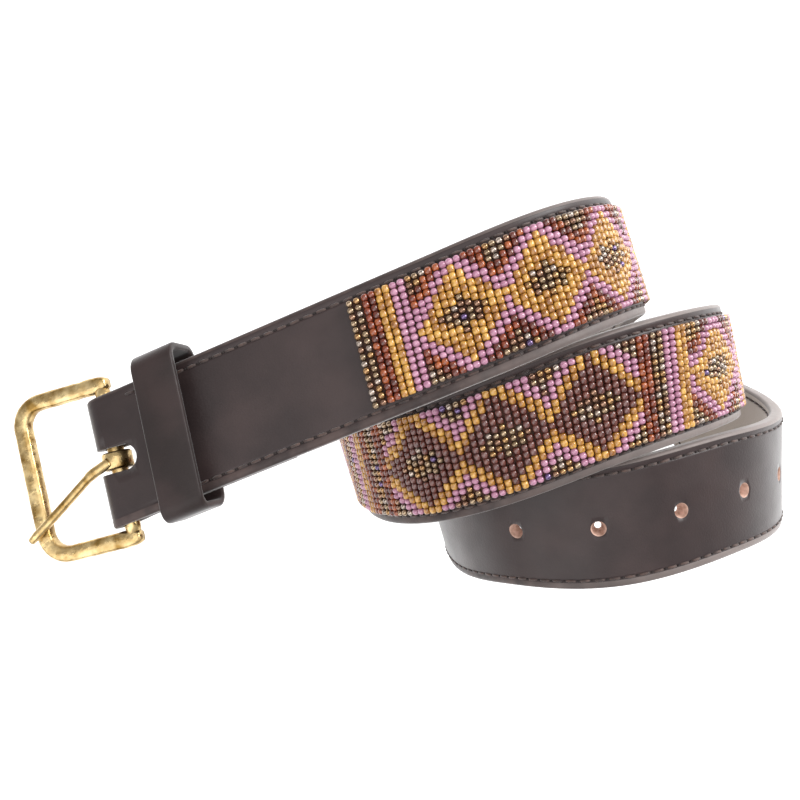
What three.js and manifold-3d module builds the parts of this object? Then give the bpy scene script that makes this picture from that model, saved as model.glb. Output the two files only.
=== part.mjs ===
// A beaded leather belt, rolled up and lying on its side: millimetres, +Z up, the roll's axis along Y.
import * as THREE from 'three';
import Module from 'manifold-3d';

// Driving sizes.
const STRAP_WIDTH = 38;
const STRAP_THICK = 4.2;
const COIL_RADIUS = 60;
const LEAD_LENGTH = 114;
const LEAD_CANT = -11;
const STRAP_LENGTH = 1005;
const PANEL_START = 85;
const PANEL_LENGTH = 506;
const PANEL_WIDTH = 30.6;
const BEAD_HEIGHT = 2.1;
const SEAT_GAP = 0.35;
const HOLE_RADIUS = 2.1;
const HOLE_PITCH = 25;
const HOLE_COUNT = 5;
const LAST_HOLE_TO_TIP = 78;
const TIP_ROUND = 20;
const BAR_RADIUS = 2.4;
const BAR_PLAY = 0.4;
const FOLD_THICK = 2.4;
const FOLD_BACK = 58;
const SLOT_WIDTH = 7.6;
const SLOT_LENGTH = 14;
const FRAME_BAR = 4.6;
const FRAME_REACH = 30.2;
const FRAME_GAP = 1.9;
const PRONG_ROD = 1.4;
const KEEPER_START = 21.5;
const KEEPER_SKEW = 0.02;
const KEEPER_BAND = 13;
const KEEPER_THICK = 2.2;
const LEAN = 0.12;
const LEAN_END = 702;
const LEAN_FADE = 140;
const SAG = 0.02;
const FLAT_EASE = 3;
const STEP = 4;

// How the strap lies. at: degrees round the roll from its top, going over to +X. reach: distance
// from the roll's axis to the middle of the leather, as a share of COIL_RADIUS. along: place along
// the axis, as a share of STRAP_WIDTH. cant: degrees by which its +Y edge stands out.
const LAY = [
  { at: -25, reach: 1.167, along: 0.96, cant: -10 },
  { at: 0, reach: 1.0, along: 1.04, cant: -9 },
  { at: 45, reach: 0.675, along: 1.01, cant: -3 },
  { at: 90, reach: 0.52, along: 0.86, cant: 0 },
  { at: 135, reach: 0.725, along: 0.62, cant: 0 },
  { at: 160, reach: 0.94, along: 0.47, cant: 0 },
  { at: 180, reach: 1.03, along: 0.34, cant: 0 },
  { at: 200, reach: 1.1, along: 0.22, cant: 0 },
  { at: 220, reach: 1.19, along: 0.12, cant: 0 },
  { at: 243, reach: 1.24, along: 0.0, cant: 0 },
  { at: 270, reach: 1.18, along: -0.1, cant: 0 },
  { at: 315, reach: 1.05, along: -0.09, cant: 0 },
  { at: 360, reach: 0.908, along: 0.02, cant: 0 },
  { at: 405, reach: 0.933, along: -0.02, cant: 1 },
  { at: 450, reach: 1.008, along: -0.19, cant: 3 },
  { at: 495, reach: 0.992, along: -0.43, cant: 0 },
  { at: 520, reach: 1.02, along: -0.6, cant: 0 },
  { at: 540, reach: 1.0, along: -0.73, cant: 0 },
  { at: 560, reach: 1.03, along: -0.83, cant: 0 },
  { at: 580, reach: 1.02, along: -0.89, cant: 0 },
  { at: 602, reach: 0.89, along: -0.88, cant: 0 },
  { at: 630, reach: 0.77, along: -0.89, cant: 0 },
  { at: 675, reach: 0.75, along: -0.87, cant: 0 },
  { at: 720, reach: 0.808, along: -0.98, cant: 0 },
  { at: 765, reach: 0.942, along: -1.07, cant: 4 },
  { at: 810, reach: 1.19, along: -1.17, cant: 14 },
  { at: 855, reach: 1.17, along: -0.7, cant: 10 },
  { at: 890, reach: 0.95, along: -0.42, cant: 6 },
  { at: 960, reach: 0.7, along: -0.3, cant: 0 },
];

const wasm = await Module();
wasm.setup();
const { Manifold, Mesh } = wasm;

// A natural cubic through one column of LAY.
function column(name) {
  const x = LAY.map((row) => row.at);
  const y = LAY.map((row) => row[name]);
  const n = x.length;
  const low = new Array(n).fill(0);
  const rhs = new Array(n).fill(0);
  for (let i = 1; i < n - 1; i++) {
    const a = x[i] - x[i - 1];
    const b = x[i + 1] - x[i];
    const pivot = 2 * (a + b) - a * low[i - 1];
    low[i] = b / pivot;
    rhs[i] = (6 * ((y[i + 1] - y[i]) / b - (y[i] - y[i - 1]) / a) - a * rhs[i - 1]) / pivot;
  }
  const m = new Array(n).fill(0);
  for (let i = n - 2; i > 0; i--) {
    m[i] = rhs[i] - low[i] * m[i + 1];
  }
  return (q) => {
    let i = 0;
    while (i < n - 2 && q > x[i + 1]) i++;
    const h = x[i + 1] - x[i];
    const d = q - x[i];
    const slope = (y[i + 1] - y[i]) / h - (h * (2 * m[i] + m[i + 1])) / 6;
    return y[i] + d * slope + (d * d * m[i]) / 2 + (d ** 3 * (m[i + 1] - m[i])) / (6 * h);
  };
}

// The middle line of the leather as closely spaced points, starting at the fold round the bar.
const reachAt = column('reach');
const alongAt = column('along');
const cantAt = column('cant');
const coilPoint = (deg) => {
  const a = THREE.MathUtils.degToRad(deg);
  const r = COIL_RADIUS * reachAt(deg);
  // Underneath it lies flat: beads down on the turn that carries them, leather down on the next.
  const rest = STRAP_THICK / 2 + (deg < 500 ? SEAT_GAP + BEAD_HEIGHT : 0);
  const clear = COIL_RADIUS + r * Math.cos(a) - rest;
  const z = rest + (clear + Math.sqrt(clear * clear + FLAT_EASE * FLAT_EASE)) / 2;
  return new THREE.Vector3(r * Math.sin(a), STRAP_WIDTH * alongAt(deg), z);
};
const line = [];
const turned = [];
const first = coilPoint(LAY[0].at);
const away = first.clone().sub(coilPoint(LAY[0].at + 1)).normalize();
for (let k = 60; k > 0; k--) {
  const s = (k * LEAD_LENGTH) / 60;
  line.push(first.clone().addScaledVector(away, s).add(new THREE.Vector3(0, 0, (-SAG * s * s) / LEAD_LENGTH)));
  turned.push(LEAD_CANT + (LAY[0].cant - LEAD_CANT) * (1 - k / 60));
}
for (let deg = LAY[0].at; deg <= LAY[LAY.length - 1].at; deg += 1) {
  line.push(coilPoint(deg));
  turned.push(cantAt(deg));
}
const run = [0];
for (let i = 1; i < line.length; i++) {
  run.push(run[i - 1] + line[i].distanceTo(line[i - 1]));
}
const grain = line.map((_, i) => {
  const a = line[Math.max(0, i - 1)];
  const b = line[Math.min(line.length - 1, i + 1)];
  return b.clone().sub(a).normalize();
});

// The frame of axes at a length s along the strap: t runs on, w crosses it, n stands off its outer face.
function axesAt(s) {
  const q = THREE.MathUtils.clamp(s, 0, run[run.length - 1] - 0.01);
  let lo = 0;
  let hi = run.length - 1;
  while (hi - lo > 1) {
    const mid = (lo + hi) >> 1;
    if (run[mid] <= q) lo = mid;
    else hi = mid;
  }
  const f = (q - run[lo]) / (run[hi] - run[lo]);
  const t = grain[lo].clone().lerp(grain[hi], f).normalize();
  const p = line[lo].clone().lerp(line[hi], f).addScaledVector(t, s - q);
  const w = new THREE.Vector3(0, 1, 0);
  w.addScaledVector(t, -w.dot(t)).normalize();
  const n = new THREE.Vector3().crossVectors(t, w);
  const cant = THREE.MathUtils.degToRad(turned[lo] + (turned[hi] - turned[lo]) * f);
  const w2 = w.clone().multiplyScalar(Math.cos(cant)).addScaledVector(n, Math.sin(cant));
  const n2 = n.clone().multiplyScalar(Math.cos(cant)).addScaledVector(w, -Math.sin(cant));
  return { p, t, w: w2, n: n2 };
}

// Lines across the strap lean on towards its tip, by this much for each mm across.
const leanAt = (s) => LEAN * THREE.MathUtils.clamp((LEAN_END - s) / LEAN_FADE, 0, 1);

// A point s along the strap, v across it and h off the middle of the leather.
function place(s, v, h) {
  const k = axesAt(s + leanAt(s) * v);
  return k.p.clone().addScaledVector(k.w, v).addScaledVector(k.n, h);
}

function solid(points, faces) {
  const mesh = new Mesh({
    numProp: 3,
    vertProperties: Float32Array.from(points.flatMap((p) => [p.x, p.y, p.z])),
    triVerts: Uint32Array.from(faces.flat()),
  });
  mesh.merge();
  const made = new Manifold(mesh);
  return made;
}

// A strip swept along the strap; ring(s) gives its section as [v, h] pairs, the same count each time.
function sweep(stations, ring) {
  const points = [];
  const faces = [];
  const across = ring(stations[0]);
  const count = across.length;
  stations.forEach((s) => ring(s).forEach(([v, h]) => points.push(place(s, v, h))));
  for (let i = 0; i < stations.length - 1; i++) {
    for (let j = 0; j < count; j++) {
      const a = i * count + j;
      const b = i * count + ((j + 1) % count);
      // Both faces of two strips that lie together are split along the same diagonal.
      if (across[j][0] < across[(j + 1) % count][0]) {
        faces.push([a, b, b + count], [a, b + count, a + count]);
      } else {
        faces.push([a, b, a + count], [b, b + count, a + count]);
      }
    }
  }
  const last = (stations.length - 1) * count;
  for (let j = 1; j < count - 1; j++) {
    faces.push([0, j + 1, j], [last, last + j, last + j + 1]);
  }
  return solid(points, faces);
}

// A three.js geometry, as it stands or carried by a move of its points, made a solid.
function fromGeometry(geometry, move) {
  const flat = geometry.index ? geometry.toNonIndexed() : geometry;
  const at = flat.getAttribute('position');
  const seen = new Map();
  const points = [];
  const ids = [];
  for (let i = 0; i < at.count; i++) {
    const key = [at.getX(i), at.getY(i), at.getZ(i)].map((x) => Math.round(x * 1e4)).join(',');
    if (!seen.has(key)) {
      seen.set(key, points.length);
      const p = new THREE.Vector3().fromBufferAttribute(at, i);
      points.push(move ? move(p) : p);
    }
    ids.push(seen.get(key));
  }
  const faces = [];
  for (let i = 0; i < ids.length; i += 3) {
    const [a, b, c] = [ids[i], ids[i + 1], ids[i + 2]];
    if (a !== b && b !== c && c !== a) faces.push([a, b, c]);
  }
  return solid(points, faces);
}

// Places to cut a sweep: its two ends and every whole step between them, so that pieces that lie on
// each other bend at the same places.
const stationsOf = (from, to, step) => {
  const out = [from];
  for (let k = Math.ceil(from / step + 0.2); k * step < to - 0.2 * step; k++) out.push(k * step);
  out.push(to);
  return out;
};

// The strap: one leather strip with eased edges and a rounded end.
const half = STRAP_THICK / 2;
const chamfer = 0.5;
const halfWidth = (s) => {
  const into = s - (STRAP_LENGTH - TIP_ROUND);
  if (into <= 0) return STRAP_WIDTH / 2;
  const share = Math.min(into / TIP_ROUND, 0.985);
  return (STRAP_WIDTH / 2) * Math.sqrt(1 - share * share);
};
const strapRing = (s) => {
  const v = halfWidth(s);
  return [
    [-v + chamfer, -half],
    [v - chamfer, -half],
    [v, -half + chamfer],
    [v, half - chamfer],
    [v - chamfer, half],
    [-v + chamfer, half],
    [-v, half - chamfer],
    [-v, -half + chamfer],
  ];
};
const strapStations = [
  ...stationsOf(14, STRAP_LENGTH - TIP_ROUND, STEP),
  ...[0.3, 0.55, 0.75, 0.88, 0.96, 1].map((f) => STRAP_LENGTH - TIP_ROUND * (1 - f)),
];
let strap = sweep(strapStations, strapRing);

// The end that goes round the bar and back under the strap, where it is stitched down.
const barAt = BAR_RADIUS + BAR_PLAY + FOLD_THICK;
const barDrop = half - barAt;
const pocket = BAR_RADIUS + BAR_PLAY;
const under = -half - FOLD_THICK;
const fold = new THREE.Shape();
fold.moveTo(18, half - 0.4);
fold.lineTo(15, half);
fold.lineTo(barAt, half);
fold.absarc(barAt, barDrop, barAt, Math.PI / 2, -Math.PI / 2, false);
fold.lineTo(7, barDrop - barAt + 0.15);
fold.lineTo(14, under);
fold.lineTo(18, under);
for (let s = 5 * STEP; s < FOLD_BACK; s += STEP) fold.lineTo(s, under);
fold.lineTo(FOLD_BACK, under + 0.2);
fold.lineTo(FOLD_BACK + 1, under + 1.2);
fold.lineTo(FOLD_BACK + 1, -half + 1);
for (let s = 14 * STEP; s > 20; s -= STEP) fold.lineTo(s, -half + 1);
fold.lineTo(18, -half + 1);
fold.closePath();
const hollow = new THREE.Path();
hollow.moveTo(13.5, -half - 0.1);
hollow.lineTo(8, barDrop + pocket * 0.86);
hollow.absarc(barAt, barDrop, pocket, Math.PI * 0.3, -Math.PI * 0.3, false);
hollow.lineTo(8, barDrop - pocket * 0.86);
hollow.lineTo(13.5, -half - 0.9);
hollow.closePath();
fold.holes.push(hollow);
const foldFlat = new THREE.ExtrudeGeometry(fold, {
  depth: STRAP_WIDTH,
  steps: 1,
  bevelEnabled: false,
  curveSegments: 7,
});
// The shape is drawn as (s, h) and pushed out along v.
const onStrap = (p) => place(p.x, STRAP_WIDTH / 2 - p.z, p.y);
strap = strap.add(fromGeometry(foldFlat, onStrap));

// A solid whose own x, y, z are s, h and v across the strap, held stiff at one place along it.
const stiff = (s0) => {
  const k = axesAt(s0);
  const yaw = Math.atan(leanAt(s0));
  const onward = k.t.clone().multiplyScalar(Math.cos(yaw)).addScaledVector(k.w, -Math.sin(yaw));
  const across = k.w.clone().multiplyScalar(Math.cos(yaw)).addScaledVector(k.t, Math.sin(yaw));
  return (p) =>
    k.p
      .clone()
      .addScaledVector(onward, p.x - s0)
      .addScaledVector(k.n, p.y)
      .addScaledVector(across, -p.z);
};
const atBar = stiff(barAt);
const slot = new THREE.CylinderGeometry(SLOT_WIDTH / 2, SLOT_WIDTH / 2, 30, 16);
slot.translate(SLOT_LENGTH - SLOT_WIDTH / 2, -4, 0);
const slotRun = new THREE.BoxGeometry(SLOT_LENGTH - SLOT_WIDTH / 2 + 4, 30, SLOT_WIDTH);
slotRun.translate((SLOT_LENGTH - SLOT_WIDTH / 2) / 2 - 2, -4, 0);
strap = strap.subtract(fromGeometry(slot, atBar).add(fromGeometry(slotRun, atBar)));

const holes = [];
for (let i = 0; i < HOLE_COUNT; i++) {
  holes.push(STRAP_LENGTH - LAST_HOLE_TO_TIP - (HOLE_COUNT - 1 - i) * HOLE_PITCH);
}
for (const s of holes) {
  const punch = new THREE.CylinderGeometry(HOLE_RADIUS, HOLE_RADIUS, STRAP_THICK + 4, 16);
  punch.translate(s, 0, 0);
  strap = strap.subtract(fromGeometry(punch, stiff(s)));
}

// The bead field: one strip on the outer face, with its long edges rolled over.
const bedLow = half + SEAT_GAP;
const bedTop = bedLow + BEAD_HEIGHT;
const panelRing = () => {
  const v = PANEL_WIDTH / 2;
  return [
    [-v, bedLow],
    [v, bedLow],
    [v, bedTop - 0.9],
    [v - 0.9, bedTop],
    [-v + 0.9, bedTop],
    [-v, bedTop - 0.9],
  ];
};
const panel = sweep(stationsOf(PANEL_START, PANEL_START + PANEL_LENGTH, STEP), panelRing);

// The buckle: two arms and a far bar with rounded corners, and a round bar through the fold.
const armIn = STRAP_WIDTH / 2 + FRAME_GAP;
const armOut = armIn + FRAME_BAR;
const ushape = new THREE.Shape();
const corner = 9.5;
const inner = 5.2;
const armEnd = 2.4;
ushape.moveTo(armEnd - 1.6, -armOut);
ushape.lineTo(armEnd, -armOut + 1.6);
ushape.lineTo(armEnd, -armIn);
ushape.lineTo(-FRAME_REACH + FRAME_BAR + inner, -armIn);
ushape.absarc(-FRAME_REACH + FRAME_BAR + inner, -armIn + inner, inner, -Math.PI / 2, -Math.PI, true);
ushape.absarc(-FRAME_REACH + FRAME_BAR + inner, armIn - inner, inner, Math.PI, Math.PI / 2, true);
ushape.lineTo(armEnd, armIn);
ushape.lineTo(armEnd, armOut - 1.6);
ushape.lineTo(armEnd - 1.6, armOut);
ushape.lineTo(-FRAME_REACH + corner, armOut);
ushape.absarc(-FRAME_REACH + corner, armOut - corner, corner, Math.PI / 2, Math.PI, false);
ushape.absarc(-FRAME_REACH + corner, -armOut + corner, corner, Math.PI, Math.PI * 1.5, false);
ushape.closePath();
const bevel = 1.3;
const ring = new THREE.ExtrudeGeometry(ushape, {
  depth: FRAME_BAR - 2 * bevel,
  bevelEnabled: true,
  bevelThickness: bevel,
  bevelSize: bevel,
  bevelOffset: -bevel,
  bevelSegments: 2,
  curveSegments: 5,
});
ring.translate(0, 0, -(FRAME_BAR - 2 * bevel) / 2);
// Drawn as (u, v) with its thickness along h, seated on the bar's middle.
const onBar = (p) => atBar(new THREE.Vector3(barAt + p.x, barDrop + p.z, -p.y));
let buckle = fromGeometry(ring, onBar);
const heel = new THREE.CylinderGeometry(BAR_RADIUS, BAR_RADIUS, 2 * armIn + 3, 16);
buckle = buckle.add(fromGeometry(heel, onBar));
for (const side of [-1, 1]) {
  const knuckle = new THREE.CylinderGeometry(FRAME_BAR * 0.58, FRAME_BAR * 0.58, FRAME_BAR - 0.2, 16);
  knuckle.translate(0, side * (armIn + FRAME_BAR / 2 + 0.1), 0);
  buckle = buckle.add(fromGeometry(knuckle, onBar));
}

// The prong: an eye round the bar and a rod that lies over the far bar.
const eyeIn = BAR_RADIUS + BAR_PLAY;
const eyeOut = eyeIn + 1.6;
const eyeShape = new THREE.Shape();
eyeShape.absarc(0, 0, eyeOut, 0, Math.PI * 2, false);
const eyeBore = new THREE.Path();
eyeBore.absarc(0, 0, eyeIn, 0, Math.PI * 2, false);
eyeShape.holes.push(eyeBore);
const eyeWide = 5.2;
const eye = new THREE.ExtrudeGeometry(eyeShape, {
  depth: eyeWide,
  bevelEnabled: false,
  curveSegments: 16,
});
eye.translate(0, 0, -eyeWide / 2);
const onHeel = (p) => atBar(new THREE.Vector3(barAt + p.x, barDrop + p.y, p.z));
let prong = fromGeometry(eye, onHeel);
const lift = FRAME_BAR / 2 + SEAT_GAP + PRONG_ROD;
const rodLine = new THREE.CatmullRomCurve3([
  new THREE.Vector3(-1.2, eyeIn + 1.05, 0.3),
  new THREE.Vector3(-6.8, lift + 0.9, 3),
  new THREE.Vector3(-FRAME_REACH + 5, lift + 0.15, 13.8),
  new THREE.Vector3(-FRAME_REACH - 0.4, lift - 0.1, 16.9),
]);
const rodEnds = 14;
const rodShape = new THREE.Shape();
rodShape.absarc(0, 0, PRONG_ROD, 0, Math.PI * 2, false);
const rod = new THREE.ExtrudeGeometry(rodShape, {
  steps: rodEnds,
  extrudePath: rodLine,
  curveSegments: 6,
  bevelEnabled: false,
});
prong = prong.add(fromGeometry(rod, onHeel)).subtract(
  fromGeometry(new THREE.CylinderGeometry(eyeIn, eyeIn, 12, 32).rotateX(Math.PI / 2), onHeel),
);

// The keeper: one loop round the strap and its folded-back end, standing loose above the front.
const loopLow = under - SEAT_GAP;
const loopHigh = half + STRAP_THICK + 1.7;
const loopHalf = STRAP_WIDTH / 2 + 2.6;
const rounded = (target, x, low, high, r) => {
  target.moveTo(x - r, low);
  target.absarc(x - r, low + r, r, -Math.PI / 2, 0, false);
  target.absarc(x - r, high - r, r, 0, Math.PI / 2, false);
  target.absarc(-x + r, high - r, r, Math.PI / 2, Math.PI, false);
  target.absarc(-x + r, low + r, r, Math.PI, Math.PI * 1.5, false);
  target.closePath();
};
const loop = new THREE.Shape();
rounded(loop, loopHalf + KEEPER_THICK, loopLow - KEEPER_THICK, loopHigh + KEEPER_THICK, 4.4);
const loopHole = new THREE.Path();
rounded(loopHole, loopHalf, loopLow, loopHigh, 2.2);
loop.holes.push(loopHole);
const band = new THREE.ExtrudeGeometry(loop, {
  depth: KEEPER_BAND,
  steps: 1,
  bevelEnabled: false,
  curveSegments: 5,
});
const keeper = fromGeometry(band, (p) => place(KEEPER_START + p.z + KEEPER_SKEW * p.x, p.x, p.y));

const belt = new THREE.Group();
const box = new THREE.Box3();
for (const made of [strap, panel, buckle, prong, keeper]) {
  const b = made.boundingBox();
  box.expandByPoint(new THREE.Vector3(...b.min)).expandByPoint(new THREE.Vector3(...b.max));
}
// Everything is moved so that the origin is at the middle of the underside.
const origin = box.getCenter(new THREE.Vector3()).setZ(box.min.z);
function addMesh(name, made, colour, metalness, roughness) {
  const out = made.getMesh();
  const count = out.numProp;
  const xyz = new Float32Array((out.vertProperties.length / count) * 3);
  for (let i = 0; i < xyz.length / 3; i++) {
    xyz[3 * i] = out.vertProperties[count * i] - origin.x;
    xyz[3 * i + 1] = out.vertProperties[count * i + 1] - origin.y;
    xyz[3 * i + 2] = out.vertProperties[count * i + 2] - origin.z;
  }
  const geometry = new THREE.BufferGeometry();
  geometry.setAttribute('position', new THREE.BufferAttribute(xyz, 3));
  geometry.setIndex(new THREE.BufferAttribute(Uint32Array.from(out.triVerts), 1));
  geometry.computeVertexNormals();
  const mesh = new THREE.Mesh(
    geometry,
    new THREE.MeshStandardMaterial({ color: colour, metalness, roughness }),
  );
  mesh.name = name;
  belt.add(mesh);
}
addMesh('strap', strap, 0x3d3231, 0, 0.5);
addMesh('bead_panel', panel, 0xa97b52, 0.1, 0.3);
addMesh('buckle_frame', buckle, 0xc2a25a, 1, 0.35);
addMesh('prong', prong, 0xc2a25a, 1, 0.35);
addMesh('keeper', keeper, 0x372c2b, 0, 0.5);

export default belt;
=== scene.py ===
"""A beaded leather belt, rolled up and lying on its side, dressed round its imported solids."""

import math
import random

import bmesh
import bpy
import numpy as np
from mathutils import Matrix, Vector


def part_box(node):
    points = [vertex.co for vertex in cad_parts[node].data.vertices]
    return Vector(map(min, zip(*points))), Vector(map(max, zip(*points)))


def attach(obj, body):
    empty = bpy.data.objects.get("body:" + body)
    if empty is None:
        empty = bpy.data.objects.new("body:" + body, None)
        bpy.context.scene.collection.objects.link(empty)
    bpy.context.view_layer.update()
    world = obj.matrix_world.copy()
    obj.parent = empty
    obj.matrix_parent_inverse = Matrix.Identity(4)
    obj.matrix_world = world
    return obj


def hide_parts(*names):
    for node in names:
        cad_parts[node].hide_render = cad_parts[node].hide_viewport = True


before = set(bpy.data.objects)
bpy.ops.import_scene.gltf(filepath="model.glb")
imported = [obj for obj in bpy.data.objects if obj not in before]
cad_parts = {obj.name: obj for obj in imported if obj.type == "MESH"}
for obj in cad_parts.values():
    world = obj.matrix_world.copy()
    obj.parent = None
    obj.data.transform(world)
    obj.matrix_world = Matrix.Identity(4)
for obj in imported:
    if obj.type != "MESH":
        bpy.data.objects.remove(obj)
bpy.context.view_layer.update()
rng = random.Random(7)

# Driving sizes in millimetres, as in the solids.
MM = 0.001
STRAP_WIDTH = 38.0
STRAP_THICK = 4.2
COIL_RADIUS = 60.0
LEAD_LENGTH = 114.0
LEAD_CANT = -11.0
STRAP_LENGTH = 1005.0
PANEL_START = 85.0
PANEL_LENGTH = 506.0
PANEL_WIDTH = 30.6
BEAD_HEIGHT = 2.1
SEAT_GAP = 0.35
HOLE_RADIUS = 2.1
HOLE_PITCH = 25.0
HOLE_COUNT = 5
LAST_HOLE_TO_TIP = 78.0
TIP_ROUND = 20.0
BAR_RADIUS = 2.4
BAR_PLAY = 0.4
FOLD_THICK = 2.4
FOLD_BACK = 58.0
SLOT_WIDTH = 7.6
SLOT_LENGTH = 14.0
FRAME_BAR = 4.6
FRAME_REACH = 30.2
FRAME_GAP = 1.9
PRONG_ROD = 1.4
KEEPER_START = 21.5
KEEPER_SKEW = 0.02
KEEPER_BAND = 13.0
KEEPER_THICK = 2.2
LEAN = 0.12
LEAN_END = 702.0
LEAN_FADE = 140.0
SAG = 0.02
FLAT_EASE = 3.0
STEP = 4.0

# How the strap lies: degrees round the roll, reach, along and cant, as the solids have it.
LAY = [
    dict(at=-25, reach=1.167, along=0.96, cant=-10),
    dict(at=0, reach=1.0, along=1.04, cant=-9),
    dict(at=45, reach=0.675, along=1.01, cant=-3),
    dict(at=90, reach=0.52, along=0.86, cant=0),
    dict(at=135, reach=0.725, along=0.62, cant=0),
    dict(at=160, reach=0.94, along=0.47, cant=0),
    dict(at=180, reach=1.03, along=0.34, cant=0),
    dict(at=200, reach=1.1, along=0.22, cant=0),
    dict(at=220, reach=1.19, along=0.12, cant=0),
    dict(at=243, reach=1.24, along=0.0, cant=0),
    dict(at=270, reach=1.18, along=-0.1, cant=0),
    dict(at=315, reach=1.05, along=-0.09, cant=0),
    dict(at=360, reach=0.908, along=0.02, cant=0),
    dict(at=405, reach=0.933, along=-0.02, cant=1),
    dict(at=450, reach=1.008, along=-0.19, cant=3),
    dict(at=495, reach=0.992, along=-0.43, cant=0),
    dict(at=520, reach=1.02, along=-0.6, cant=0),
    dict(at=540, reach=1.0, along=-0.73, cant=0),
    dict(at=560, reach=1.03, along=-0.83, cant=0),
    dict(at=580, reach=1.02, along=-0.89, cant=0),
    dict(at=602, reach=0.89, along=-0.88, cant=0),
    dict(at=630, reach=0.77, along=-0.89, cant=0),
    dict(at=675, reach=0.75, along=-0.87, cant=0),
    dict(at=720, reach=0.808, along=-0.98, cant=0),
    dict(at=765, reach=0.942, along=-1.07, cant=4),
    dict(at=810, reach=1.19, along=-1.17, cant=14),
    dict(at=855, reach=1.17, along=-0.7, cant=10),
    dict(at=890, reach=0.95, along=-0.42, cant=6),
    dict(at=960, reach=0.7, along=-0.3, cant=0),
]

HALF = STRAP_THICK / 2
BAR_AT = BAR_RADIUS + BAR_PLAY + FOLD_THICK
BAR_DROP = HALF - BAR_AT
BED_LOW = HALF + SEAT_GAP
BED_TOP = BED_LOW + BEAD_HEIGHT


# The line of the strap.


def unit(a):
    return a / np.linalg.norm(a, axis=-1, keepdims=True)


def column(name):
    """A natural cubic through one column of LAY."""
    x = np.array([row["at"] for row in LAY], float)
    y = np.array([row[name] for row in LAY], float)
    count = len(x)
    low = np.zeros(count)
    rhs = np.zeros(count)
    for i in range(1, count - 1):
        a = x[i] - x[i - 1]
        b = x[i + 1] - x[i]
        pivot = 2 * (a + b) - a * low[i - 1]
        low[i] = b / pivot
        rise = (y[i + 1] - y[i]) / b - (y[i] - y[i - 1]) / a
        rhs[i] = (6 * rise - a * rhs[i - 1]) / pivot
    m = np.zeros(count)
    for i in range(count - 2, 0, -1):
        m[i] = rhs[i] - low[i] * m[i + 1]

    def at(q):
        i = min(max(int(np.searchsorted(x, q)) - 1, 0), count - 2)
        h = x[i + 1] - x[i]
        d = q - x[i]
        slope = (y[i + 1] - y[i]) / h - h * (2 * m[i] + m[i + 1]) / 6
        return y[i] + d * slope + d * d * m[i] / 2 + d**3 * (m[i + 1] - m[i]) / (6 * h)

    return at


reach_at = column("reach")
along_at = column("along")
cant_at = column("cant")


def coil_point(deg):
    a = math.radians(deg)
    r = COIL_RADIUS * reach_at(deg)
    rest = HALF + (SEAT_GAP + BEAD_HEIGHT if deg < 500 else 0)
    clear = COIL_RADIUS + r * math.cos(a) - rest
    z = rest + (clear + math.hypot(clear, FLAT_EASE)) / 2
    return np.array([r * math.sin(a), STRAP_WIDTH * along_at(deg), z])


def strap_line():
    """Points along the middle of the leather, and the cant at each of them."""
    first = coil_point(LAY[0]["at"])
    away = unit(first - coil_point(LAY[0]["at"] + 1))
    points, cants = [], []
    for k in range(60, 0, -1):
        s = k * LEAD_LENGTH / 60
        points.append(first + away * s + np.array([0, 0, -SAG * s * s / LEAD_LENGTH]))
        cants.append(LEAD_CANT + (LAY[0]["cant"] - LEAD_CANT) * (1 - k / 60))
    for deg in range(LAY[0]["at"], LAY[-1]["at"] + 1):
        points.append(coil_point(deg))
        cants.append(cant_at(deg))
    return np.array(points), np.array(cants)


LINE, CANTS = strap_line()
RUN = np.concatenate([[0], np.cumsum(np.linalg.norm(np.diff(LINE, axis=0), axis=1))])
GRAIN = unit(
    np.vstack([LINE[1] - LINE[0], LINE[2:] - LINE[:-2], LINE[-1] - LINE[-2]])
)


def axes(s):
    """Origin and axes at lengths s: t runs on, w crosses the strap, n stands off its outer face."""
    s = np.atleast_1d(np.asarray(s, float))
    q = np.clip(s, 0, RUN[-1] - 0.01)
    lo = np.clip(np.searchsorted(RUN, q, side="right") - 1, 0, len(RUN) - 2)
    f = ((q - RUN[lo]) / (RUN[lo + 1] - RUN[lo]))[:, None]
    t = unit(GRAIN[lo] * (1 - f) + GRAIN[lo + 1] * f)
    p = LINE[lo] * (1 - f) + LINE[lo + 1] * f + t * (s - q)[:, None]
    w = unit(np.array([0.0, 1.0, 0.0]) - t * t[:, 1:2])
    n = np.cross(t, w)
    cant = np.radians(CANTS[lo][:, None] * (1 - f) + CANTS[lo + 1][:, None] * f)
    return p, t, w * np.cos(cant) + n * np.sin(cant), n * np.cos(cant) - w * np.sin(cant)


def stations_of(start, end, step):
    out = [start]
    k = math.ceil(start / step + 0.2)
    while k * step < end - 0.2 * step:
        out.append(k * step)
        k += 1
    return np.array(out + [end])


def lean_at(s):
    """How far a line across the strap lies further on for each millimetre across."""
    return LEAN * np.clip((LEAN_END - np.asarray(s, float)) / LEAN_FADE, 0, 1)


def leaned(s, v):
    return np.asarray(s, float) + lean_at(s) * np.asarray(v, float)


def raw_place(s, v, h):
    p, _, w, n = axes(leaned(s, v))
    return p + w * np.reshape(v, (-1, 1)) + n * np.reshape(h, (-1, 1))


def solids_shift():
    """How far the solids were moved to put the origin under their middle."""
    grid = stations_of(PANEL_START, PANEL_START + PANEL_LENGTH, STEP)
    side = PANEL_WIDTH / 2
    ring = [
        (-side, BED_LOW),
        (side, BED_LOW),
        (side, BED_TOP - 0.9),
        (side - 0.9, BED_TOP),
        (0.9 - side, BED_TOP),
        (-side, BED_TOP - 0.9),
    ]
    pts = np.vstack(
        [raw_place(grid, np.full(len(grid), v), np.full(len(grid), h)) for v, h in ring]
    )
    low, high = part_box("bead_panel")
    middle = (np.array(low) + np.array(high)) / 2 / MM
    return middle - (pts.min(0) + pts.max(0)) / 2


SHIFT = solids_shift()


def place(s, v, h):
    """Points s along the strap, v across it and h off the middle of the leather, in metres."""
    return (raw_place(s, v, h) + SHIFT) * MM


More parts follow.
